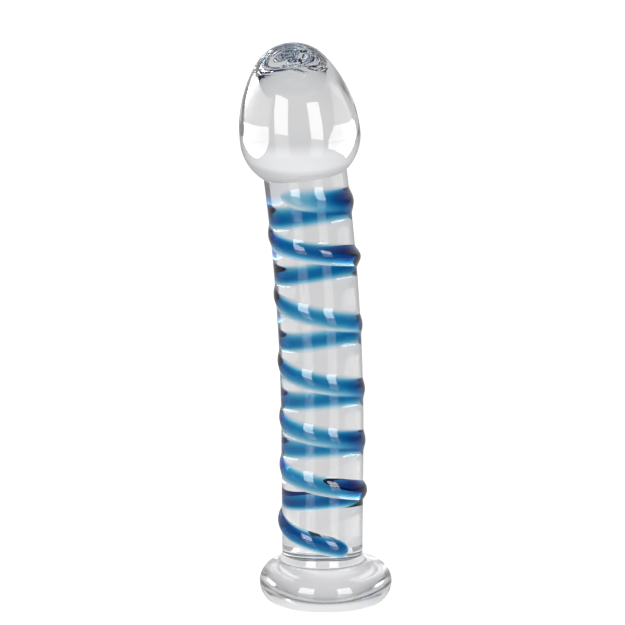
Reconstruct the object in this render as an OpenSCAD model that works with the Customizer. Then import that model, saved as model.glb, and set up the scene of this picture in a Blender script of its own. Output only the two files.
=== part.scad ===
// Solid glass massage wand: an egg-shaped clear head, a gently bent clear rod
// and a round clear foot, with one blue glass trail wound round the rod.
// Millimetres, +Z up. The origin is the centre of the foot's flat underside,
// and the rod bends toward -X.

/* [Rod] */
// Diameter of the rod where it meets the head
rod_head_diameter = 26; // [22:0.5:30]
// Diameter of the rod where it stands on the foot
rod_foot_diameter = 25.5; // [22:0.5:27]
// Height above the table at which the rod starts to bend
straight_height = 50.5; // [30:0.1:80]
// Length of the bent stretch along the rod's axis
bend_length = 86; // [70:1:120]
// Angle through which the rod bends, in degrees
bend_angle = 7.75; // [2:0.25:25]
// How far the rod stands off the foot's centre, toward the bend
rod_offset = 1.1; // [0:0.1:2]

/* [Head] */
// Diameter of the head at its widest
head_diameter = 37.5; // [32:0.5:46]
// Length from the rod's end to the head's widest level
head_neck_length = 11.8; // [9:0.1:16]
// Length from the widest level to the tip
head_tip_length = 29.3; // [24:0.1:36]
// Radius of the rounded tip
head_tip_radius = 13.5; // [10:0.25:15]

/* [Foot] */
// Diameter of the foot
foot_diameter = 42; // [38:0.5:56]
// Thickness of the foot, whose edge is fully rounded
foot_thickness = 12.5; // [8:0.1:16]
// Height at which the foot is widest
foot_widest_height = 5.5; // [3:0.1:8]
// Radius of the edge below the widest level, cut off by the flat underside
foot_edge_radius = 7.5; // [6:0.1:12]
// Diameter of the foot's top, to which its upper side slopes
foot_top_diameter = 26; // [20:0.5:34]
// Diameter of the flared collar where it leaves the foot
collar_diameter = 27.3; // [26.8:0.1:31]
// Height of the collar above the foot
collar_height = 2.2; // [1.6:0.1:6]

/* [Trail] */
// Width of the trail along the rod, over most of its length
trail_width = 7.2; // [4:0.1:9]
// Width of the trail at its upper end, where it was first pressed on
trail_upper_width = 8.8; // [4:0.1:11]
// Width of the trail in its last turn
trail_lower_width = 6.4; // [4:0.1:9]
// Height of the trail above the rod, over most of its length
trail_rise = 0.65; // [0.4:0.05:2]
// Height of the trail at its upper end
trail_upper_rise = 1.1; // [0.5:0.1:2]
// Height of the trail at its thick place in the second turn
trail_thick_rise = 1.6; // [0.5:0.1:2.5]
// Height of the trail in its last turn
trail_lower_rise = 1.3; // [0.5:0.1:2.5]
// Depth to which the trail is sunk in the rod
trail_depth = 2.2; // [1:0.1:4]
// Height of the lip along the trail's edges
trail_lip = 0.2; // [0.16:0.02:0.3]
// Number of turns round the rod
trail_turns = 6.22; // [3:0.01:8]
// Direction in which the trail starts, in degrees from +X
trail_start_angle = -150; // [-180:1:180]
// Gap that a trail of even width would leave below the head
trail_head_gap = 0.7; // [0.5:0.1:8]
// Gap between the trail's lower edge and the collar
trail_foot_gap = 0.2; // [0.2:0.1:8]
// Distance by which the hand-wound trail strays from an even pitch
trail_stray = 2.3; // [0:0.1:3]
// Number of turns in which it strays up and down once
trail_stray_turns = 4.4; // [3:0.1:8]
// Length of the drawn-out upper end, in turns
trail_upper_end = 0.2; // [0.05:0.01:0.5]
// Length of the blunt lower end, in turns
trail_lower_end = 0.05; // [0.03:0.01:0.5]

/* [Hidden] */
$fn = 96;

rod_head_radius = rod_head_diameter / 2;
rod_foot_radius = rod_foot_diameter / 2;
rod_base = foot_thickness + collar_height;
rod_end = straight_height + bend_length;
bend_radius = bend_length / (bend_angle * PI / 180);

head_radius = head_diameter / 2;
head_tip_centre = head_neck_length + head_tip_length - head_tip_radius;
// The lower arc runs from the rod's edge to the widest level
head_swell = head_radius - rod_head_radius;
head_lower_radius = (head_swell ^ 2 + head_neck_length ^ 2) / (2 * head_swell);
// The side arc runs from the widest level and ends tangent to the tip
head_side_radius =
    (head_radius ^ 2 + (head_tip_length - head_tip_radius) ^ 2 - head_tip_radius ^ 2)
    / (2 * (head_radius - head_tip_radius));

foot_radius = foot_diameter / 2;
foot_edge_centre = foot_radius - foot_edge_radius;
foot_top_radius = foot_top_diameter / 2;
foot_upper_height = foot_thickness - foot_widest_height;
foot_slope_width = foot_radius - foot_top_radius;
collar_radius = collar_diameter / 2;

trail_start = rod_end - trail_head_gap - trail_width / 2;
trail_finish = rod_base + trail_foot_gap + trail_lower_width / 2;
// The last turn starts to thicken and has thickened at these turns
trail_last_turn = max(trail_turns - 1.4, 1.9);
trail_last_full = trail_last_turn + 0.5;
rings_per_turn = 24;
// The first ring at an end has this part of a step, so the tip is blunt
end_bluntness = 0.4;
// The crown has this many points on each side of its ridge
crown_steps = 3;
// The hollow's sides, as shares of the half width and of the depth
hollow_width = 0.6;
hollow_edge = 0.42;

// Angle of the rod's axis from vertical, a length s along it from the table
function bend_at(s) = bend_angle * min(max((s - straight_height) / bend_length, 0), 1);

// Point on the rod's axis
function axis_point(s) =
    [-rod_offset - bend_radius * (1 - cos(bend_at(s))),
     0,
     min(s, straight_height) + bend_radius * sin(bend_at(s))];

// Radius of the rod, which narrows toward the foot along its straight stretch
function rod_radius(s) =
    rod_foot_radius + (rod_head_radius - rod_foot_radius)
    * min(max((s - rod_base) / (straight_height - rod_base), 0), 1);

// Point in the direction "around" from the axis, a height "out" above the rod
function rod_point(s, around, out) =
    axis_point(s) + (rod_radius(s) + out)
    * [cos(around) * cos(bend_at(s)), sin(around), cos(around) * sin(bend_at(s))];

// Place along the rod after so many turns, from the head down
function stray(turns) = trail_stray * sin(360 * turns / trail_stray_turns);
function trail_place(turns) =
    trail_start + stray(turns)
    - (trail_start - trail_finish + stray(trail_turns)) * turns / trail_turns;

// Rings of the trail, each as its turn and its share of the full section
function end_rings(length) =
    let (count = max(3, ceil(length * rings_per_turn * PI / 2)))
    [for (i = [0:count - 1])
        let (a = 90 * (i + end_bluntness) / count)
        [length * (1 - cos(a)), sin(a)]];
trail_upper_rings = end_rings(trail_upper_end);
trail_lower_rings = end_rings(trail_lower_end);
trail_even_turns = trail_turns - trail_upper_end - trail_lower_end;
trail_even_count = ceil(trail_even_turns * rings_per_turn);
trail_rings = concat(
    trail_upper_rings,
    [for (i = [0:trail_even_count])
        [trail_upper_end + trail_even_turns * i / trail_even_count, 1]],
    [for (i = [len(trail_lower_rings) - 1:-1:0])
        [trail_turns - trail_lower_rings[i][0], trail_lower_rings[i][1]]]
);

// Half the width and the height of the trail after so many turns
function trail_half_width(turns) = lookup(turns, [
    [0.5, trail_upper_width],
    [1, trail_width],
    [trail_last_turn, trail_width],
    [trail_last_full, trail_lower_width]
]) / 2;
function trail_rise_at(turns) = lookup(turns, [
    [0.4, trail_upper_rise],
    [0.8, trail_rise],
    [1.3, trail_thick_rise],
    [1.8, trail_rise],
    [trail_last_turn, trail_rise],
    [trail_last_full, trail_lower_rise]
]);

// Section of the trail, each point as its share of the half width and its
// height: a crown melted into the rod's surface, and a hollow sunk below it
function crown(rise) =
    [for (i = [-crown_steps:crown_steps])
        [i / crown_steps,
         trail_lip + (rise - trail_lip) * (1 + cos(180 * i / crown_steps)) / 2]];
function hollow(depth) =
    [[hollow_width, -hollow_edge * depth], [0, -depth], [-hollow_width, -hollow_edge * depth]];
function ring_points(turns, share) = [
    for (p = concat(crown(max(trail_rise_at(turns) * share, trail_lip)), hollow(trail_depth * share)))
        rod_point(
            trail_place(turns) + p[0] * share * trail_half_width(turns),
            trail_start_angle + 360 * turns,
            p[1]
        )
];
trail_points = [for (r = trail_rings) ring_points(r[0], r[1])];
ring_sides = len(trail_points[0]);
ring_count = len(trail_points);

// Least gap between one turn of the trail and the next
trail_middle = [
    for (r = trail_rings) rod_point(trail_place(r[0]), trail_start_angle + 360 * r[0], 0)
];
trail_gap = min([
    for (i = [0:ring_count - 1], j = [i:ring_count - 1])
        if (trail_rings[j][0] - trail_rings[i][0] > 0.5)
            norm(trail_middle[i] - trail_middle[j])
            - trail_half_width(trail_rings[i][0]) - trail_half_width(trail_rings[j][0])
]);
echo(least_gap_between_turns = trail_gap);

// Half of the head's outline, with the rod's end at zero
module head_profile() {
    intersection() {
        translate([head_radius - head_lower_radius, head_neck_length])
            circle(head_lower_radius);
        square([head_radius, head_neck_length]);
    }
    intersection() {
        translate([head_radius - head_side_radius, head_neck_length])
            circle(head_side_radius);
        polygon([
            [0, head_neck_length],
            [head_side_radius, head_neck_length],
            [head_side_radius, head_tip_centre
                + (head_tip_length - head_tip_radius) * head_side_radius
                / (head_side_radius - head_radius)],
            [0, head_tip_centre]
        ]);
    }
    intersection() {
        translate([0, head_tip_centre]) circle(head_tip_radius);
        translate([0, head_neck_length]) square([head_radius, head_tip_length]);
    }
}

module head() {
    color("gainsboro")
        translate(axis_point(rod_end))
            rotate([0, -bend_angle, 0])
                rotate_extrude() head_profile();
}

// The rod before the trail is pressed into it
module plain_rod() {
    translate([-rod_offset, 0, rod_base])
        cylinder(h = straight_height - rod_base, r1 = rod_foot_radius, r2 = rod_head_radius);
    translate([-rod_offset - bend_radius, 0, straight_height])
        rotate([90, 0, 0])
            rotate_extrude(angle = bend_angle)
                translate([bend_radius, 0]) circle(rod_head_radius);
}

module rod() {
    color("whitesmoke")
        difference() {
            plain_rod();
            trail_solid();
        }
}

// Half of the foot's outline: steep up to the widest level, and flatter above it
module foot_profile() {
    square([foot_edge_centre, foot_widest_height]);
    intersection() {
        translate([foot_edge_centre, foot_widest_height]) circle(foot_edge_radius);
        square([foot_radius, foot_widest_height]);
    }
    translate([0, foot_widest_height]) square([foot_top_radius, foot_upper_height]);
    translate([foot_top_radius, foot_widest_height])
        intersection() {
            scale([foot_slope_width / foot_upper_height, 1]) circle(foot_upper_height);
            square([foot_slope_width, foot_upper_height]);
        }
}

module foot() {
    color("lightgray") {
        rotate_extrude() foot_profile();
        translate([-rod_offset, 0, 0])
            rotate_extrude()
                polygon([
                    [0, foot_widest_height],
                    [collar_radius, foot_widest_height],
                    [collar_radius, foot_thickness],
                    [rod_foot_radius, rod_base],
                    [0, rod_base]
                ]);
    }
}

// One unbroken band swept along the rod, closed at both ends
module trail_solid() {
    side_faces = [
        for (i = [0:ring_count - 2], j = [0:ring_sides - 1])
            let (a = i * ring_sides + j,
                 b = i * ring_sides + (j + 1) % ring_sides,
                 c = a + ring_sides,
                 d = b + ring_sides)
            each [[a, b, d], [a, d, c]]
    ];
    last = (ring_count - 1) * ring_sides;
    end_faces = [
        [for (j = [ring_sides - 1:-1:0]) j],
        [for (j = [0:ring_sides - 1]) last + j]
    ];
    polyhedron(points = [for (ring = trail_points) each ring],
               faces = concat(side_faces, end_faces));
}

module blue_trail() {
    color("steelblue") trail_solid();
}

head();
rod();
foot();
blue_trail();
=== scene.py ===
"""Dresses the solid glass wand: clear head, rod and foot, and one blue wound trail."""
import logging
import math
from dataclasses import dataclass, field
from enum import Enum
from typing import Any, Callable, Iterable, Sequence

import bpy
from mathutils import Matrix, Vector


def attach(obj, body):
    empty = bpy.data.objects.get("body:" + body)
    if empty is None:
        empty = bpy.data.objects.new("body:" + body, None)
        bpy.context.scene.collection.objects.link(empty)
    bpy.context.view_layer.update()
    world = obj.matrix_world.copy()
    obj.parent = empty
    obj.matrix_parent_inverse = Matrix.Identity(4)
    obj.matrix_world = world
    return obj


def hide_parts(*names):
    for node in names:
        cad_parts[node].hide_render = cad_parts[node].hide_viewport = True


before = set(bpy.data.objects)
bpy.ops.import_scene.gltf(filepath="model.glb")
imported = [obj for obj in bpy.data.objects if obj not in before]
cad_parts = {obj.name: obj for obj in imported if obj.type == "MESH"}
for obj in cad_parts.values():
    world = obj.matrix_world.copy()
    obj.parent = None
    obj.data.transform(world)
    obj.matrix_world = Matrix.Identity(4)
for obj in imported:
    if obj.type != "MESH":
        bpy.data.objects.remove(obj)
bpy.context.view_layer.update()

LOG = logging.getLogger("wand")
MM = 0.001
FULL_TURN = 2 * math.pi
UPWARDS = Vector((0, 0, 1))
BACKWARDS = Vector((0, 1, 0))
IMAGE_PIXELS = 625
SENSOR_WIDTH = 36.0
MERGE_DISTANCE = 1e-7
SMOOTH_ANGLE = math.radians(35)
NOISE_MIDDLE = 0.5
GLASS_BOUNCES = 24
GLOSSY_BOUNCES = 8
JOINT_BOUNCES = 32

Stops = tuple[tuple[float, float], ...]
Colour = tuple[float, float, float, float]


class Mark(Enum):
    """Marks on a glass piece's faces: melted to its neighbour, or lightly ground."""

    JOINT = "joint"
    GROUND = "ground"


class Rays(Enum):
    """Kinds of ray that the studio answers in different ways."""

    CAMERA = "Is Camera Ray"
    GLOSSY = "Is Glossy Ray"
    TRANSMISSION = "Is Transmission Ray"


def blend(place: float, stops: Stops) -> float:
    """Eases from stop to stop.

    Args:
        place: Where the value is wanted.
        stops: Places and their values, in order.

    Returns:
        The value at the place, which is even before the first stop and after the last.
    """
    if place <= stops[0][0]:
        return stops[0][1]
    for (first, low), (second, high) in zip(stops, stops[1:]):
        if place < second:
            share = (place - first) / (second - first)
            return low + (high - low) * share * share * (3 - 2 * share)
    return stops[-1][1]


def direction(azimuth: float, elevation: float) -> Vector:
    """Direction from the wand to a place in the studio.

    Args:
        azimuth: Degrees round from -Y towards +X.
        elevation: Degrees above the table.

    Returns:
        A vector of length 1.
    """
    turn, up = math.radians(azimuth), math.radians(elevation)
    return Vector((math.sin(turn) * math.cos(up), -math.cos(turn) * math.cos(up), math.sin(up)))


class Signal:
    """A shader socket that can be used in Python arithmetic."""

    def __init__(self, shader: "Shader", socket: bpy.types.NodeSocket) -> None:
        """Wraps a socket of the shader's node tree."""
        self.shader = shader
        self.socket = socket

    def __add__(self, other: "Signal | float") -> "Signal":
        """Adds a signal or a number."""
        return self.shader.maths("ADD", self, other)

    __radd__ = __add__

    def __mul__(self, other: "Signal | float") -> "Signal":
        """Multiplies by a signal or a number."""
        return self.shader.maths("MULTIPLY", self, other)

    __rmul__ = __mul__

    def __sub__(self, other: "Signal | float") -> "Signal":
        """Subtracts a signal or a number."""
        return self.shader.maths("SUBTRACT", self, other)

    def __rsub__(self, other: float) -> "Signal":
        """Subtracts this signal from a number."""
        return self.shader.maths("SUBTRACT", other, self)


class Shader:
    """A node tree, emptied and filled again with named nodes."""

    def __init__(self, tree: bpy.types.NodeTree) -> None:
        """Empties the tree."""
        self.tree = tree
        tree.nodes.clear()

    def node(
        self,
        kind: str,
        settings: dict[str, Any] | None = None,
        inputs: dict[str | int, Any] | None = None,
    ) -> bpy.types.Node:
        """Adds one node.

        Args:
            kind: The node's type, such as "ShaderNodeMath".
            settings: Properties, which are set first. "stops" fills a colour ramp.
            inputs: Values or links by socket name or number.

        Returns:
            The new node.
        """
        made = self.tree.nodes.new(kind)
        for name, value in (settings or {}).items():
            if name == "stops":
                self._fill_ramp(made, value)
            else:
                setattr(made, name, value)
        for key, value in (inputs or {}).items():
            socket = made.inputs[key]
            if isinstance(value, Signal):
                self.tree.links.new(value.socket, socket)
            else:
                socket.default_value = value
        return made

    @staticmethod
    def _fill_ramp(ramp: bpy.types.Node, stops: Sequence[tuple[float, Colour]]) -> None:
        """Gives a colour ramp its stops.

        Args:
            ramp: The colour ramp's node.
            stops: Places from 0 to 1 and their colours, in order.
        """
        elements = ramp.color_ramp.elements
        while len(elements) < len(stops):
            elements.new(1.0)
        for element, (place, colour) in zip(elements, stops):
            element.position = place
            element.color = colour

    def signal(self, node: bpy.types.Node, output: str | int = 0) -> Signal:
        """Returns one output of a node as a signal."""
        return Signal(self, node.outputs[output])

    def coordinates(self, kind: str) -> Signal:
        """Returns one of the texture coordinates, such as "Object" or "UV"."""
        return self.signal(self.node("ShaderNodeTexCoord"), kind)

    def maths(self, operation: str, first: Signal | float, second: Signal | float) -> Signal:
        """Adds a Math node and returns its result."""
        made = self.node("ShaderNodeMath", {"operation": operation}, {0: first, 1: second})
        return self.signal(made)

    def ramp(self, value: Signal, stops: Sequence[tuple[float, Colour]]) -> Signal:
        """Maps a value to a colour along the given stops."""
        made = self.node("ShaderNodeValToRGB", {"stops": stops}, {"Fac": value})
        return self.signal(made, "Color")

    def grade(self, value: Signal, stops: Stops) -> Signal:
        """Maps a value from 0 to 1 to a level along the given stops."""
        return self.ramp(value, [(place, (level, level, level, 1.0)) for place, level in stops])

    def along(self, place: Signal, way: Vector) -> Signal:
        """Returns how far a place or direction lies along the given way."""
        made = self.node("ShaderNodeVectorMath", {"operation": "DOT_PRODUCT"}, {0: place, 1: way})
        return self.signal(made, "Value")

    def reach(self, place: Signal) -> Signal:
        """Returns how far a place lies from the origin."""
        made = self.node("ShaderNodeVectorMath", {"operation": "LENGTH"}, {0: place})
        return self.signal(made, "Value")

    def noise(self, place: Signal, scale: float, detail: float, swirl: float = 0.0) -> Signal:
        """Returns soft noise from 0 to 1, which can be stirred into swirls."""
        made = self.node(
            "ShaderNodeTexNoise",
            None,
            {"Vector": place, "Scale": scale, "Detail": detail, "Distortion": swirl},
        )
        return self.signal(made)

    def mark(self, mark: Mark) -> Signal:
        """Returns 1 on faces that have the mark, and 0 on others."""
        options = {"attribute_type": "GEOMETRY", "attribute_name": mark.value}
        return self.signal(self.node("ShaderNodeAttribute", options), "Fac")

    def rays(self, kind: Rays) -> Signal:
        """Returns 1 for rays of the given kind, and 0 for others."""
        return self.signal(self.node("ShaderNodeLightPath"), kind.value)


@dataclass(frozen=True)
class ClearGlass:
    """Fire-polished colourless glass: faint cords and waves all over, ripples in the head's back."""

    name: str = "clear_glass"
    slot: str = "clear_glass"
    refraction: float = 1.47
    pure: Colour = (1.0, 1.0, 1.0, 1.0)
    cloudy: Colour = (0.965, 0.972, 0.985, 1.0)
    cord_scale: float = 55.0
    cord_detail: float = 3.0
    cord_start: float = 0.3
    cord_core: float = 0.75
    wave_scale: float = 45.0
    wave_detail: float = 1.0
    wave_height: float = 0.03 * MM
    added_roughness: float = 0.012
    ground_roughness: float = 0.08
    ripple_back: Stops = ((0.001, 0.0), (0.007, 1.0))
    ripple_top: Stops = ((0.1605, 0.0), (0.1635, 1.0))
    ripple_scale: float = 165.0
    ripple_detail: float = 2.0
    ripple_swirl: float = 3.5
    ripple_height: float = 0.8 * MM

    def material(self) -> bpy.types.Material:
        """Makes the finish as a Blender material.

        Returns:
            The new material.
        """
        made = bpy.data.materials.new(self.name)
        made.use_nodes = True
        shader = Shader(made.node_tree)
        place = shader.coordinates("Object")
        cords = shader.noise(place, self.cord_scale, self.cord_detail)
        tint = shader.ramp(cords, [(self.cord_start, self.pure), (self.cord_core, self.cloudy)])
        ground = self.ground_roughness * shader.mark(Mark.GROUND)
        relief = self._relief(shader, place)
        bump = shader.node("ShaderNodeBump", None, {"Strength": 1.0, "Distance": 1.0, "Height": relief})
        surface = shader.node(
            "ShaderNodeBsdfPrincipled",
            None,
            {
                "Base Color": tint,
                "Roughness": self.added_roughness * cords + ground,
                "IOR": self.refraction,
                "Transmission Weight": 1.0,
                "Alpha": 1 - shader.mark(Mark.JOINT),
                "Normal": shader.signal(bump, "Normal"),
            },
        )
        shader.node("ShaderNodeOutputMaterial", None, {"Surface": shader.signal(surface, "BSDF")})
        return made

    def _relief(self, shader: Shader, place: Signal) -> Signal:
        """Gives the height of the waves all over, and of the ripples in the head's back.

        Args:
            shader: The material's nodes.
            place: Where on the wand the height is wanted.

        Returns:
            The height in metres.
        """
        waves = shader.noise(place, self.wave_scale, self.wave_detail)
        swirls = shader.noise(place, self.ripple_scale, self.ripple_detail, self.ripple_swirl)
        in_back = shader.grade(shader.along(place, BACKWARDS), self.ripple_back)
        in_top = shader.grade(shader.along(place, UPWARDS), self.ripple_top)
        ripples = (swirls - NOISE_MIDDLE) * (in_back * in_top)
        return self.wave_height * waves + self.ripple_height * ripples


@dataclass(frozen=True)
class BlueGlass:
    """Transparent blue glass, deeper where it is thick, with streaks along the pull."""

    name: str = "blue_glass"
    slot: str = "blue_glass"
    refraction: float = 1.5
    pale: Colour = (0.94, 0.93, 1.0, 1.0)
    deep: Colour = (0.72, 0.83, 0.96, 1.0)
    absorbed: Colour = (0.04, 0.685, 0.852, 1.0)
    density: float = 1850.0
    streak_stretch: tuple[float, float, float] = (26.0, 4.0, 1.0)
    streak_detail: float = 4.0
    streak_start: float = 0.35
    streak_core: float = 0.7
    added_roughness: float = 0.02

    def material(self) -> bpy.types.Material:
        """Makes the finish as a Blender material.

        Returns:
            The new material.
        """
        made = bpy.data.materials.new(self.name)
        made.use_nodes = True
        shader = Shader(made.node_tree)
        pulled = shader.node(
            "ShaderNodeMapping",
            None,
            {"Vector": shader.coordinates("UV"), "Scale": self.streak_stretch},
        )
        streaks = shader.noise(shader.signal(pulled), 1.0, self.streak_detail)
        tint = shader.ramp(streaks, [(self.streak_start, self.pale), (self.streak_core, self.deep)])
        surface = shader.node(
            "ShaderNodeBsdfPrincipled",
            None,
            {
                "Base Color": tint,
                "Roughness": self.added_roughness * streaks,
                "IOR": self.refraction,
                "Transmission Weight": 1.0,
                "Alpha": 1 - shader.mark(Mark.JOINT),
            },
        )
        inside = shader.node(
            "ShaderNodeVolumeAbsorption",
            None,
            {"Color": self.absorbed, "Density": self.density},
        )
        shader.node(
            "ShaderNodeOutputMaterial",
            None,
            {
                "Surface": shader.signal(surface, "BSDF"),
                "Volume": shader.signal(inside, "Volume"),
            },
        )
        return made


class Bench:
    """The modelling steps that the pieces share, each done with Blender's operators."""

    @staticmethod
    def clear_selection() -> None:
        """Leaves edit mode and deselects every object."""
        if bpy.context.object and bpy.context.object.mode != "OBJECT":
            bpy.ops.object.mode_set(mode="OBJECT")
        bpy.ops.object.select_all(action="DESELECT")

    @staticmethod
    def edit() -> None:
        """Enters edit mode with everything selected."""
        bpy.ops.object.mode_set(mode="EDIT")
        bpy.ops.mesh.select_all(action="SELECT")

    @staticmethod
    def close(piece: bpy.types.Object) -> None:
        """Welds a piece's doubles, closes its holes, and turns its faces outwards.

        Args:
            piece: The piece, which is the active object.
        """
        Bench.edit()
        bpy.ops.mesh.remove_doubles(threshold=MERGE_DISTANCE)
        bpy.ops.mesh.dissolve_degenerate(threshold=MERGE_DISTANCE)
        bpy.ops.mesh.select_all(action="SELECT")
        bpy.ops.mesh.fill_holes(sides=0)
        bpy.ops.mesh.select_all(action="SELECT")
        bpy.ops.mesh.normals_make_consistent(inside=False)
        bpy.ops.object.mode_set(mode="OBJECT")
        bpy.ops.object.shade_smooth_by_angle(angle=SMOOTH_ANGLE)
        piece.data.update()

    @staticmethod
    def round_ring(piece: bpy.types.Object, height: float, size: float, segments: int = 6) -> None:
        """Rounds off the corner that runs round a turned piece.

        Args:
            piece: The piece, which is the active object.
            height: Height of the corner above the table.
            size: How far the rounding reaches from the corner.
            segments: Number of faces across the rounding.
        """
        Bench.edit()
        bpy.ops.mesh.select_all(action="DESELECT")
        bpy.ops.object.mode_set(mode="OBJECT")
        for vertex in piece.data.vertices:
            vertex.select = abs(vertex.co.z - height) < MERGE_DISTANCE
        bpy.ops.object.mode_set(mode="EDIT")
        bpy.ops.mesh.bevel(offset=size, segments=segments, affect="EDGES")
        bpy.ops.object.mode_set(mode="OBJECT")
        bpy.ops.object.shade_smooth_by_angle(angle=SMOOTH_ANGLE)

    @staticmethod
    def grid(name: str, rows: int, columns: int) -> bpy.types.Object:
        """Adds a flat grid from (0, 0) to (rows, columns), in whole steps.

        Args:
            name: The new object's name.
            rows: Number of steps along X.
            columns: Number of steps along Y.

        Returns:
            The grid, whose vertices hold their row and column as X and Y.
        """
        Bench.clear_selection()
        bpy.ops.mesh.primitive_grid_add(x_subdivisions=rows, y_subdivisions=columns, size=1)
        made = bpy.context.object
        made.name = made.data.name = name
        steps = Matrix.Diagonal((rows, columns, 1, 1)) @ Matrix.Translation((0.5, 0.5, 0))
        made.data.transform(steps)
        return made

    @staticmethod
    def mark(
        piece: bpy.types.Object,
        mark: Mark,
        chosen: Callable[[bpy.types.MeshPolygon], bool],
    ) -> None:
        """Marks some faces of a piece, beside those marked before.

        Args:
            piece: The piece, in object mode.
            mark: What the faces are.
            chosen: Tells whether a face gets the mark.
        """
        marks = piece.data.attributes.get(mark.value)
        if marks is None:
            marks = piece.data.attributes.new(mark.value, "FLOAT", "FACE")
        for face in piece.data.polygons:
            if chosen(face):
                marks.data[face.index].value = 1.0


class Outline:
    """Half the outline of a turned piece, drawn in the XZ plane and then spun about Z."""

    def __init__(self, name: str, x: float, z: float) -> None:
        """Starts a new object with one vertex.

        Args:
            name: The new object's name.
            x: Distance of the vertex from the axis.
            z: Height of the vertex.
        """
        Bench.clear_selection()
        bpy.ops.mesh.primitive_plane_add(size=MM)
        self.piece = bpy.context.object
        self.piece.name = self.piece.data.name = name
        Bench.edit()
        bpy.ops.mesh.merge(type="CENTER")
        bpy.ops.transform.translate(value=(x, 0, z))
        self.end = Vector((x, 0, z))

    def line(self, x: float, z: float, steps: int = 1) -> None:
        """Draws a straight stretch.

        Args:
            x: Distance of its end from the axis.
            z: Height of its end.
            steps: Number of equal steps that it is drawn in.
        """
        step = (Vector((x, 0, z)) - self.end) / steps
        for _ in range(steps):
            bpy.ops.mesh.extrude_region_move(TRANSFORM_OT_translate={"value": step})
        self.end = Vector((x, 0, z))

    def arc(self, x: float, z: float, angle: float, steps: int) -> None:
        """Draws an arc, from X towards Z where the angle is positive.

        Args:
            x: Distance of its centre from the axis.
            z: Height of its centre.
            angle: Angle that it turns through.
            steps: Number of steps that it is drawn in.
        """
        centre = Vector((x, 0, z))
        bpy.ops.mesh.spin(steps=steps, angle=angle, center=centre, axis=(0, 1, 0))
        self.end = centre + Matrix.Rotation(-angle, 3, "Y") @ (self.end - centre)

    def turn(self, segments: int) -> bpy.types.Object:
        """Spins the outline about Z into a closed piece.

        Args:
            segments: Number of steps round the piece.

        Returns:
            The piece, in object mode.
        """
        bpy.ops.mesh.select_all(action="SELECT")
        bpy.ops.mesh.spin(steps=segments, angle=FULL_TURN, center=(0, 0, 0), axis=(0, 0, 1))
        Bench.close(self.piece)
        return self.piece


@dataclass(frozen=True)
class RodAxis:
    """The line through the rod's middle: straight up from the table, then an arc to -X."""

    offset: float = 1.1 * MM
    straight: float = 50.5 * MM
    bend_length: float = 86.0 * MM
    bend: float = math.radians(7.75)

    @property
    def bend_radius(self) -> float:
        """Radius of the bent stretch."""
        return self.bend_length / self.bend

    @property
    def end(self) -> float:
        """Length along the axis from the table to the head."""
        return self.straight + self.bend_length

    def lean(self, along: float) -> float:
        """Angle of the axis from vertical, a length along it from the table."""
        return self.bend * min(max((along - self.straight) / self.bend_length, 0.0), 1.0)

    def point(self, along: float) -> Vector:
        """Place on the axis, a length along it from the table."""
        lean = self.lean(along)
        return Vector((
            -self.offset - self.bend_radius * (1 - math.cos(lean)),
            0.0,
            min(along, self.straight) + self.bend_radius * math.sin(lean),
        ))

    def outward(self, along: float, around: float) -> Vector:
        """Direction square to the axis, at an angle around it from +X."""
        lean = self.lean(along)
        return Vector((
            math.cos(around) * math.cos(lean),
            math.sin(around),
            math.cos(around) * math.sin(lean),
        ))


@dataclass(frozen=True)
class TrailPath:
    """How the trail winds down the rod, by the turns made since its upper end."""

    turns: float = 6.22
    start_angle: float = math.radians(-150)
    upper: float = 132.2 * MM
    lower: float = 18.1 * MM
    stray: float = 2.3 * MM
    stray_turns: float = 4.4
    widths: Stops = ((0.5, 8.8 * MM), (1.0, 7.2 * MM), (4.82, 7.2 * MM), (5.32, 6.4 * MM))
    upper_end: float = 0.2
    lower_end: float = 0.05

    def _stray(self, turn: float) -> float:
        """How far the hand-wound trail is off an even pitch."""
        return self.stray * math.sin(FULL_TURN * turn / self.stray_turns)

    @property
    def pitch(self) -> float:
        """Mean drop in a turn."""
        return (self.upper - self.lower + self._stray(self.turns)) / self.turns

    def place(self, turn: float) -> float:
        """Finds the trail's middle, past the ends at an even pitch.

        Args:
            turn: Turns made since the upper end.

        Returns:
            Length along the rod's axis from the table.
        """
        inside = min(max(turn, 0.0), self.turns)
        wound = self.upper + self._stray(inside) - self.pitch * inside
        return wound - self.pitch * (turn - inside)

    def around(self, turn: float) -> float:
        """Angle around the rod from +X."""
        return self.start_angle + FULL_TURN * turn

    def half_width(self, turn: float) -> float:
        """Half the trail's width, which falls to nothing round each end."""
        return blend(turn, self.widths) / 2 * self.share(turn)

    def share(self, turn: float) -> float:
        """Finds the share of the full section, which falls to nothing round each end.

        Args:
            turn: Turns made since the upper end.

        Returns:
            The share, from 0 to 1.
        """
        near_upper = min(max(turn / self.upper_end, 0.0), 1.0)
        near_lower = min(max((self.turns - turn) / self.lower_end, 0.0), 1.0)
        return math.sqrt((1 - (1 - near_upper) ** 2) * (1 - (1 - near_lower) ** 2))


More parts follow.
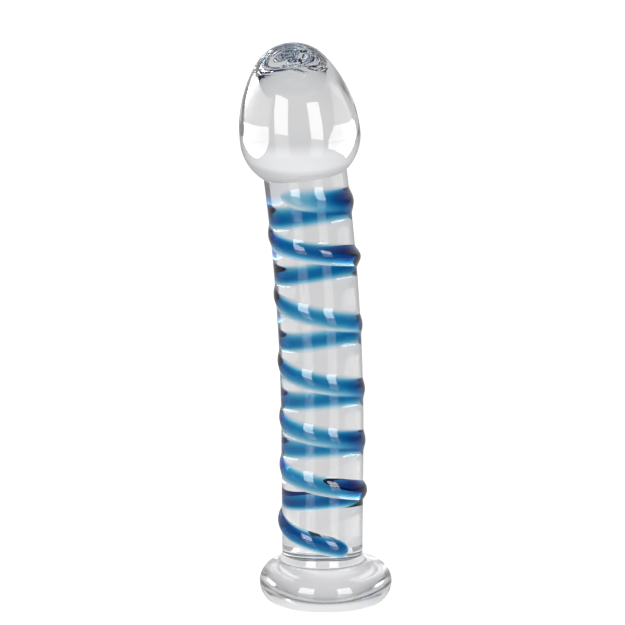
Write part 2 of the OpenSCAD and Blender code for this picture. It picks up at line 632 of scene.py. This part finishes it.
@dataclass
class Wand:
    """Sizes that the wand's pieces share."""

    axis: RodAxis = field(default_factory=RodAxis)
    path: TrailPath = field(default_factory=TrailPath)
    rod_head_radius: float = 13.0 * MM
    rod_foot_radius: float = 12.75 * MM
    rod_base: float = 14.7 * MM
    trail_depth: float = 2.2 * MM
    hollow_power: float = 3.0
    thickness: Stops = (
        (0.05, 0.1),
        (0.35, 1.0),
        (0.8, 0.9),
        (1.3, 1.1),
        (2.05, 0.65),
        (2.4, 0.85),
        (3.05, 0.8),
        (3.4, 0.9),
        (4.05, 0.65),
        (4.4, 0.9),
        (5.05, 0.5),
        (5.35, 1.0),
        (6.0, 1.1),
    )
    rows_per_turn: int = 250

    def rod_radius(self, along: float) -> float:
        """Finds the rod's radius, which narrows towards the foot on its straight stretch.

        Args:
            along: Length along the axis from the table.

        Returns:
            The radius.
        """
        share = (along - self.rod_base) / (self.axis.straight - self.rod_base)
        widening = self.rod_head_radius - self.rod_foot_radius
        return self.rod_foot_radius + widening * min(max(share, 0.0), 1.0)

    def hollow(self, turn: float, across: float) -> float:
        """Depth of the trail's underside, from -1 to 1 across the trail."""
        depth = self.trail_depth * self.path.share(turn) * blend(turn, self.thickness)
        return depth * max(1 - across**2, 0.0) ** self.hollow_power

    def surface(self, along: float, around: float, height: float) -> Vector:
        """Place at a height above the rod's surface."""
        reach = self.rod_radius(along) + height
        return self.axis.point(along) + reach * self.axis.outward(along, around)


@dataclass
class Piece:
    """One glass piece, which stands for the CAD node of the same name."""

    wand: Wand
    node: str

    def shape(self) -> bpy.types.Object:
        """Models the piece's mesh."""
        raise NotImplementedError

    def build(self, finish: ClearGlass | BlueGlass, material: bpy.types.Material) -> bpy.types.Object:
        """Models the piece, dresses it and seats it in the frame.

        Args:
            finish: The finish, which is not used.
            material: The finish as a Blender material.

        Returns:
            The finished object.
        """
        made = self.shape()
        made.data.materials.clear()
        made.data.materials.append(material)
        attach(made, "root")
        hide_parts(self.node)
        LOG.info("%s: %d faces", made.name, len(made.data.polygons))
        return made


@dataclass
class Head(Piece):
    """The egg-shaped head, turned from three arcs and tilted onto the rod's end."""

    radius: float = 18.75 * MM
    neck_length: float = 11.8 * MM
    tip_length: float = 29.3 * MM
    tip_radius: float = 13.5 * MM
    neck_rings: int = 4
    arc_steps: int = 28
    segments: int = 224

    def shape(self) -> bpy.types.Object:
        """Models the head.

        Returns:
            The head's object.
        """
        neck = self.wand.rod_head_radius
        swell = self.radius - neck
        lower = (swell**2 + self.neck_length**2) / (2 * swell)
        rise = self.tip_length - self.tip_radius
        side = (self.radius**2 + rise**2 - self.tip_radius**2) / (2 * (self.radius - self.tip_radius))
        lower_angle = math.asin(self.neck_length / lower)
        side_angle = math.atan2(rise, side - self.radius)
        outline = Outline("glass_head", 0.0, 0.0)
        outline.line(neck, 0.0, self.neck_rings)
        outline.arc(self.radius - lower, self.neck_length, lower_angle, self.arc_steps)
        outline.arc(self.radius - side, self.neck_length, side_angle, self.arc_steps)
        outline.arc(0.0, self.neck_length + rise, math.pi / 2 - side_angle, self.arc_steps)
        made = outline.turn(self.segments)
        Bench.mark(made, Mark.JOINT, lambda face: face.center.z < MERGE_DISTANCE)
        axis = self.wand.axis
        tilt = Matrix.Rotation(-axis.bend, 4, "Y")
        made.matrix_world = Matrix.Translation(axis.point(axis.end)) @ tilt
        bpy.ops.object.transform_apply(location=True, rotation=True, scale=True)
        return made


@dataclass
class Foot(Piece):
    """The round foot: a rolled edge, lightly ground below, and a flared collar for the rod."""

    radius: float = 21.0 * MM
    top_radius: float = 13.0 * MM
    edge_radius: float = 7.5 * MM
    thickness: float = 12.5 * MM
    widest_height: float = 5.5 * MM
    collar_radius: float = 13.65 * MM
    collar_rounding: float = 0.6 * MM
    ground_height: float = 5.0 * MM
    base_rings: int = 6
    seat_rings: int = 4
    edge_steps: int = 32
    segments: int = 224

    def shape(self) -> bpy.types.Object:
        """Models the foot, turned with a round upper edge at first, which is then drawn in.

        Returns:
            The foot's object.
        """
        upper = self.thickness - self.widest_height
        slope = (self.collar_radius - self.top_radius) / (self.radius - self.top_radius)
        edge_angle = math.asin(self.widest_height / self.edge_radius)
        edge_centre = self.radius - self.edge_radius
        base = edge_centre + self.edge_radius * math.cos(edge_angle)
        outline = Outline("glass_foot", 0.0, 0.0)
        outline.line(base, 0.0, self.base_rings)
        outline.arc(edge_centre, self.widest_height, edge_angle, self.edge_steps)
        outline.arc(self.radius - upper, self.widest_height, math.acos(slope), self.edge_steps)
        collar_foot = outline.end.z
        outline.line(self.wand.rod_foot_radius, self.wand.rod_base)
        outline.line(0.0, self.wand.rod_base, self.seat_rings)
        made = outline.turn(self.segments)
        seat = self.wand.rod_base - MERGE_DISTANCE
        Bench.mark(made, Mark.JOINT, lambda face: face.center.z > seat)
        Bench.mark(made, Mark.GROUND, lambda face: face.center.z < self.ground_height)
        for vertex in made.data.vertices:
            if vertex.co.z > self.widest_height:
                self._draw_in(vertex)
        Bench.round_ring(made, collar_foot, self.collar_rounding)
        return made

    def _draw_in(self, vertex: bpy.types.MeshVertex) -> None:
        """Draws the round upper edge in to the foot's top, and moves the collar over with the rod.

        Args:
            vertex: A vertex above the foot's widest level.
        """
        upper = self.thickness - self.widest_height
        reach = math.hypot(vertex.co.x, vertex.co.y)
        wanted = reach
        if reach > self.radius - upper:
            wanted = self.radius - (self.radius - reach) * (self.radius - self.top_radius) / upper
            vertex.co.x *= wanted / reach
            vertex.co.y *= wanted / reach
        share = (self.radius - wanted) / (self.radius - self.collar_radius)
        vertex.co.x -= self.wand.axis.offset * min(max(share, 0.0), 1.0) ** 2


@dataclass
class Rod(Piece):
    """The bent rod, wound from one strip so that its groove has clean edges."""

    groove_steps: int = 12
    clear_steps: int = 10
    spare_turns: float = 1.32
    groove_ease: float = 1.01

    def shape(self) -> bpy.types.Object:
        """Models the rod.

        Returns:
            The rod's object.
        """
        wand, path = self.wand, self.wand.path
        first = -math.ceil(self.spare_turns * wand.rows_per_turn)
        last = math.ceil((path.turns + self.spare_turns - 1) * wand.rows_per_turn)
        made = Bench.grid("glass_rod", last - first, self.groove_steps + self.clear_steps)
        Bench.mark(made, Mark.JOINT, lambda face: face.center.y < self.groove_steps)
        for vertex in made.data.vertices:
            turn = (first + round(vertex.co.x)) / wand.rows_per_turn
            vertex.co = self._place(turn, round(vertex.co.y))
        Bench.close(made)
        Bench.mark(made, Mark.JOINT, self._is_end)
        return made

    def _is_end(self, face: bpy.types.MeshPolygon) -> bool:
        """Tells whether a face closes one end of the rod.

        Args:
            face: A face of the rod.

        Returns:
            True for a face whose middle is near the middle of an end.
        """
        axis = self.wand.axis
        ends = (axis.point(self.wand.rod_base), axis.point(axis.end))
        return min((face.center - end).length for end in ends) < self.wand.rod_foot_radius / 2

    def _place(self, turn: float, column: int) -> Vector:
        """Finds one point of the strip, which goes across the groove and on to the next turn.

        Args:
            turn: Turns made since the trail's upper end.
            column: Number of steps across the strip.

        Returns:
            The point's place, a hair below the trail's underside in the groove.
        """
        wand, path = self.wand, self.wand.path
        half = path.half_width(turn)
        depth = 0.0
        if column <= self.groove_steps:
            across = math.cos(math.pi * column / self.groove_steps)
            along = path.place(turn) + half * across
            depth = self.groove_ease * wand.hollow(turn, across)
        else:
            below = path.place(turn) - half
            above_next = path.place(turn + 1) + path.half_width(turn + 1)
            share = (column - self.groove_steps) / self.clear_steps
            along = below + (above_next - below) * share
        along = min(max(along, wand.rod_base), wand.axis.end)
        return wand.surface(along, path.around(turn), -depth)


@dataclass
class Trail(Piece):
    """The blue trail: a crown melted into the rod's surface, over a hollow sunk in it."""

    rises: Stops = (
        (0.05, 0.7 * MM),
        (0.4, 1.1 * MM),
        (0.8, 0.65 * MM),
        (1.3, 1.6 * MM),
        (1.8, 0.65 * MM),
        (4.82, 0.65 * MM),
        (5.32, 1.3 * MM),
    )
    melts: Stops = ((0.0, 1.5), (0.3, 1.8), (4.82, 1.8), (5.4, 1.0))
    steps: int = 14

    def shape(self) -> bpy.types.Object:
        """Models the trail.

        Returns:
            The trail's object.
        """
        wand, path = self.wand, self.wand.path
        rows = round(path.turns * wand.rows_per_turn)
        made = Bench.grid("glass_trail", rows, 2 * self.steps)
        Bench.mark(made, Mark.JOINT, lambda face: face.center.y > self.steps)
        for vertex in made.data.vertices:
            turn = round(vertex.co.x) / wand.rows_per_turn
            vertex.co = self._place(turn, round(vertex.co.y))
        Bench.close(made)
        return made

    def _place(self, turn: float, column: int) -> Vector:
        """Finds one point of the section, which goes over the crown and back under the hollow.

        Args:
            turn: Turns made since the trail's upper end.
            column: Number of steps round the section.

        Returns:
            The point's place.
        """
        wand, path = self.wand, self.wand.path
        share = path.share(turn)
        across = math.cos(math.pi * column / self.steps)
        rounded = max(1 - across**2, 0.0)
        if column <= self.steps:
            height = blend(turn, self.rises) * share * rounded ** blend(turn, self.melts)
        else:
            height = -wand.hollow(turn, across)
        along = path.place(turn) + path.half_width(turn) * across
        return wand.surface(along, path.around(turn), height)


@dataclass(frozen=True)
class Softbox:
    """A rectangular lamp that faces the wand."""

    name: str
    azimuth: float
    elevation: float
    width: float
    height: float
    distance: float = 2.0
    brightness: float = 9.0

    def build(self, target: Vector) -> None:
        """Hangs the lamp, which the glass reflects and the paper doesn't answer.

        Args:
            target: The place that the lamp faces.
        """
        lamp = bpy.data.lights.new(self.name, "AREA")
        lamp.shape = "RECTANGLE"
        lamp.size = self.width
        lamp.size_y = self.height
        lamp.energy = self.brightness * math.pi * self.width * self.height
        hung = bpy.data.objects.new(self.name, lamp)
        bpy.context.scene.collection.objects.link(hung)
        back = direction(self.azimuth, self.elevation)
        hung.location = target + back * self.distance
        hung.rotation_euler = back.to_track_quat("Z", "Y").to_euler()
        hung.visible_camera = False
        hung.visible_diffuse = False


@dataclass(frozen=True)
class Studio:
    """A sheet of white paper, a pale wall behind and a grey ceiling, in a dark room with two lamps."""

    target: tuple[float, float, float] = (-12.5 * MM, 0.0, 148.5 * MM)
    behind: float = 160.0
    floor_side: float = 8.0
    floor_drop: float = 0.3 * MM
    paper_white: float = 0.8
    paper_glow: float = 0.85
    paper_glow_in_glass: float = 0.135
    sheen: float = 0.3
    sheen_roughness: float = 0.1
    paper_spread: float = 1.6
    paper_edge: Stops = ((0.24, 1.0), (0.4, 0.12))
    paper_front: Stops = ((0.08, 1.0), (0.16, 0.12))
    paper_front_turn: float = 45.0
    contact_shadow: Stops = ((0.009, 0.06), (0.0135, 1.0))
    # Painted light: a pool of light on the paper round the foot, shown only in the glass.
    painted_light_pool: Stops = ((0.02, 0.18), (0.03, 0.01), (0.12, 0.0))
    # Painted light: the paper in front of the wand is made brighter, as if lit more than behind.
    painted_front_light: Stops = ((0.012, 0.0), (0.025, 0.04), (0.06, 0.04), (0.15, 0.0))
    wall_by_height: Stops = (
        (0.0, 0.68),
        (0.06, 0.78),
        (0.14, 0.87),
        (0.34, 0.9),
        (0.43, 0.72),
        (0.55, 0.66),
        (0.7, 0.5),
    )
    wall_by_side: Stops = (
        (0.35, 0.08),
        (0.5, 0.3),
        (0.75, 0.78),
        (0.88, 0.86),
        (0.97, 0.97),
        (1.0, 1.0),
    )
    ceiling: Stops = ((0.3, 0.0), (0.5, 0.44), (0.9, 0.3))
    white: Colour = (1.0, 1.0, 1.0, 1.0)
    room_light: Colour = (0.99, 0.99, 1.0, 1.0)
    softboxes: tuple[Softbox, ...] = (
        Softbox("left_lamp", azimuth=-53.9, elevation=12.0, width=0.97, height=1.2),
        Softbox("right_lamp", azimuth=13.6, elevation=11.4, width=0.88, height=1.23),
    )

    def build(self) -> None:
        """Makes the floor, the lamps and the room's light."""
        self._floor()
        for lamp in self.softboxes:
            lamp.build(Vector(self.target))
        self._world()

    def _floor(self) -> None:
        """Lays the paper, which is white to the camera and keeps the wand's shadow."""
        Bench.clear_selection()
        bpy.ops.mesh.primitive_plane_add(size=self.floor_side, location=(0, 0, -self.floor_drop))
        floor = bpy.context.object
        floor.name = "paper_floor"
        floor.data.materials.append(self._paper())

    def _paper(self) -> bpy.types.Material:
        """Makes the paper's finish.

        Returns:
            The new material.
        """
        made = bpy.data.materials.new("white_paper")
        made.use_nodes = True
        shader = Shader(made.node_tree)
        place = shader.coordinates("Object")
        paper = self._sheet(shader, place)
        seen = 1 - (1 - self.paper_glow) * paper
        in_glass = shader.rays(Rays.GLOSSY) + shader.rays(Rays.TRANSMISSION)
        glow = seen * shader.rays(Rays.CAMERA) + self._glow_in_glass(shader, place) * in_glass * paper
        matt = shader.node("ShaderNodeBsdfDiffuse", None, {"Color": self.paper_white * paper})
        glossy = shader.node("ShaderNodeBsdfGlossy", None, {"Roughness": self.sheen_roughness})
        sheet = shader.node(
            "ShaderNodeMixShader",
            None,
            {
                0: self.sheen * shader.rays(Rays.GLOSSY),
                1: shader.signal(matt),
                2: shader.signal(glossy),
            },
        )
        lit = shader.node("ShaderNodeEmission", None, {"Strength": glow})
        both = shader.node("ShaderNodeAddShader", None, {0: shader.signal(sheet), 1: shader.signal(lit)})
        shader.node("ShaderNodeOutputMaterial", None, {"Surface": shader.signal(both)})
        return made

    def _sheet(self, shader: Shader, place: Signal) -> Signal:
        """Tells where the paper lies: wider behind, cut slantwise in front, with a painted contact
        shadow under the foot.

        Args:
            shader: The floor's nodes.
            place: A place on the floor.

        Returns:
            How much of the paper's light is there, from 0 to 1, with the painted contact shadow under
            the foot.
        """
        side = shader.maths("ABSOLUTE", shader.along(place, direction(self.behind + 90, 0)), 0.0)
        back = shader.maths("MAXIMUM", shader.along(place, direction(self.behind, 0)), 0.0)
        cut = shader.along(place, direction(self.behind + 180 + self.paper_front_turn, 0))
        paper = shader.grade(side - self.paper_spread * back, self.paper_edge)
        paper = paper * shader.grade(cut, self.paper_front)
        # Painted shadow: the paper's colour and glow are darkened under the foot.
        return paper * shader.grade(shader.reach(place), self.contact_shadow)

    def _glow_in_glass(self, shader: Shader, place: Signal) -> Signal:
        """Gives the paper's light as the glass shows it, with a painted pool of light round the foot
        that is lighter in front.

        Args:
            shader: The floor's nodes.
            place: A place on the floor.

        Returns:
            The strength of the light.
        """
        # Painted light round the foot and in front of it, added to the paper's even glow.
        front = shader.along(place, direction(self.behind + 180, 0))
        painted_light_pool = shader.grade(shader.reach(place), self.painted_light_pool)
        return self.paper_glow_in_glass + painted_light_pool + shader.grade(front, self.painted_front_light)

    def _world(self) -> None:
        """Fills the room: white to the camera, and to the glass a pale wall and a ceiling."""
        world = bpy.data.worlds.new("studio")
        world.use_nodes = True
        bpy.context.scene.world = world
        shader = Shader(world.node_tree)
        looking = shader.coordinates("Generated")
        height = shader.along(looking, UPWARDS)
        side = 0.5 + 0.5 * shader.along(looking, direction(self.behind, 0))
        wall = shader.grade(height, self.wall_by_height) * shader.grade(side, self.wall_by_side)
        room = shader.maths("MAXIMUM", wall, shader.grade(height, self.ceiling))
        seen = shader.node("ShaderNodeBackground", None, {"Color": self.white, "Strength": 1.0})
        lit = shader.node("ShaderNodeBackground", None, {"Color": self.room_light, "Strength": room})
        both = shader.node(
            "ShaderNodeMixShader",
            None,
            {0: shader.rays(Rays.CAMERA), 1: shader.signal(lit), 2: shader.signal(seen)},
        )
        shader.node("ShaderNodeOutputWorld", None, {"Surface": shader.signal(both)})


@dataclass(frozen=True)
class PhotoCamera:
    """The photograph's viewpoint."""

    azimuth: float = -20.0
    elevation: float = 10.486
    distance: float = 1.0
    target: tuple[float, float, float] = (-4.06 * MM, 1.07 * MM, 92.07 * MM)
    focal_pixels: float = 3192.9

    def build(self) -> None:
        """Places the camera and makes it the scene's."""
        camera = bpy.data.cameras.new("photo_camera")
        camera.sensor_width = SENSOR_WIDTH
        camera.lens = self.focal_pixels / IMAGE_PIXELS * SENSOR_WIDTH
        held = bpy.data.objects.new("photo_camera", camera)
        bpy.context.scene.collection.objects.link(held)
        back = direction(self.azimuth, self.elevation)
        held.location = Vector(self.target) + back * self.distance
        held.rotation_euler = back.to_track_quat("Z", "Y").to_euler()
        bpy.context.scene.camera = held


def set_up_scene() -> None:
    """Sets the colour view, and lets light through as many layers as the glass has."""
    scene = bpy.context.scene
    scene.view_settings.view_transform = "Standard"
    scene.cycles.max_bounces = GLASS_BOUNCES
    scene.cycles.transmission_bounces = GLASS_BOUNCES
    scene.cycles.glossy_bounces = GLOSSY_BOUNCES
    scene.cycles.transparent_max_bounces = JOINT_BOUNCES


def main() -> None:
    """Builds the studio and the wand's pieces in order."""
    logging.basicConfig(level=logging.INFO, format="%(name)s: %(message)s")
    set_up_scene()
    PhotoCamera().build()
    Studio().build()
    wand = Wand()
    clear, blue = ClearGlass(), BlueGlass()
    clear_material, blue_material = clear.material(), blue.material()
    Head(wand, "head").build(clear, clear_material)
    Rod(wand, "rod").build(clear, clear_material)
    Foot(wand, "foot").build(clear, clear_material)
    Trail(wand, "blue_trail").build(blue, blue_material)


if __name__ == "__main__":
    main()
